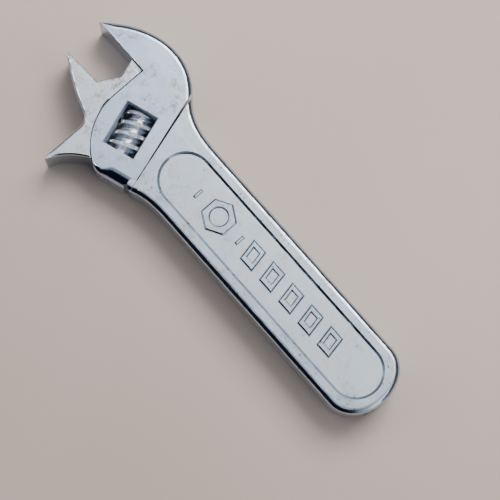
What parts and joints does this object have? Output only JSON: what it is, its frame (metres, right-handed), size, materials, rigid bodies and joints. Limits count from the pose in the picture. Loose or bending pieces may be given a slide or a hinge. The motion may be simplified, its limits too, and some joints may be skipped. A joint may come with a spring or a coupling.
{
  "type": "adjustable wrench lighter",
  "caption": "Flip-top pocket lighter shaped as a small adjustable wrench, with a sliding jaw, a knurled worm in a window and a slim box-section handle.",
  "frame": {"origin": "on the flat back face, at the middle of the handle's width and length", "axes": "+Y along the handle towards the jaws, +X towards the fixed jaw's side, +Z out of the front face with the recess and badge"},
  "size_m": [0.0335, 0.0926, 0.01],
  "materials": {
    "shell_chrome": "satin chrome plate with fine brushing on the faces",
    "head_chrome": "satin chrome plate, polished sides, small pits and stains",
    "jaw_chrome": "satin chrome plate, polished edges",
    "worm_chrome": "bright chrome with dark grooves",
    "steel": "plain steel",
    "brass": "turned brass",
    "rubber": "black rubber",
    "tank_plastic": "milky moulded plastic",
    "black_plastic": "fine-textured black plastic",
    "white_plastic": "white plastic",
    "wire": "red insulated wire"
  },
  "bodies": {
    "handle": {"front_shell": "shell_chrome", "back_shell": "shell_chrome", "shell_pins": "steel", "fuel_tank": "tank_plastic", "tank_cap": "tank_plastic", "fill_valve_body": "brass", "fill_valve_seal": "rubber", "flame_adjuster_seal": "rubber", "valve_body": "brass", "valve_seal": "rubber", "lever_pin": "steel", "burner_tube": "steel", "burner_nozzle": "brass", "wind_guard": "steel", "piezo_housing": "black_plastic", "piezo_hammer": "steel", "electrode": "steel", "electrode_wire": "wire", "deck_plate": "black_plastic", "hinge_pin": "steel"},
    "lid": {"head_body": "head_chrome", "worm_pin": "steel", "worm_spring": "steel"},
    "jaw": {"movable_jaw": "jaw_chrome"},
    "worm": {"worm": "worm_chrome"},
    "button": {"ignition_button": "black_plastic", "piezo_plunger": "white_plastic"},
    "gas_lever": {"gas_lever": "steel"},
    "valve_stem": {"valve_stem": "brass"},
    "fill_stem": {"fill_valve_stem": "brass"},
    "flame_adjuster": {"flame_adjuster": "brass"}
  },
  "joints": [
    {"name": "lid_hinge", "type": "hinge", "parent": "handle", "child": "lid", "pos_m": [-0.0084, 0.03058, 0.005], "axis": [0, 0, 1], "range_deg": [0, 70]},
    {"name": "jaw_slide", "type": "slide", "parent": "lid", "child": "jaw", "axis": [-1, 0, 0], "range_m": [0, 0.0045]},
    {"name": "worm_spin", "type": "hinge", "parent": "lid", "child": "worm", "pos_m": [-0.00164, 0.0393, 0.005], "axis": [0.9511, 0.309, 0], "range_deg": [0, 336]},
    {"name": "button_press", "type": "slide", "parent": "handle", "child": "button", "axis": [0, -1, 0], "range_m": [0, 0.002], "stiffness_N_per_m": 600},
    {"name": "gas_lever_turn", "type": "hinge", "parent": "handle", "child": "gas_lever", "pos_m": [-0.0021, 0.008, 0.005], "axis": [0, 0, -1], "range_deg": [0, 36]},
    {"name": "valve_lift", "type": "slide", "parent": "handle", "child": "valve_stem", "axis": [0, 1, 0], "range_m": [0, 0.0009]},
    {"name": "fill_valve_press", "type": "slide", "parent": "handle", "child": "fill_stem", "axis": [0, 1, 0], "range_m": [0, 0.001], "stiffness_N_per_m": 300},
    {"name": "flame_adjuster_turn", "type": "hinge", "parent": "handle", "child": "flame_adjuster", "pos_m": [0.0029, -0.0315, 0.005], "axis": [0, 1, 0], "range_deg": [-120, 120]}
  ],
  "couplings": [
    {"joint": "worm_spin", "follows": "jaw_slide", "rad_per_m": 1299.1},
    {"joint": "gas_lever_turn", "follows": "button_press", "rad_per_m": 310},
    {"joint": "valve_lift", "follows": "button_press", "ratio": 0.434}
  ]
}
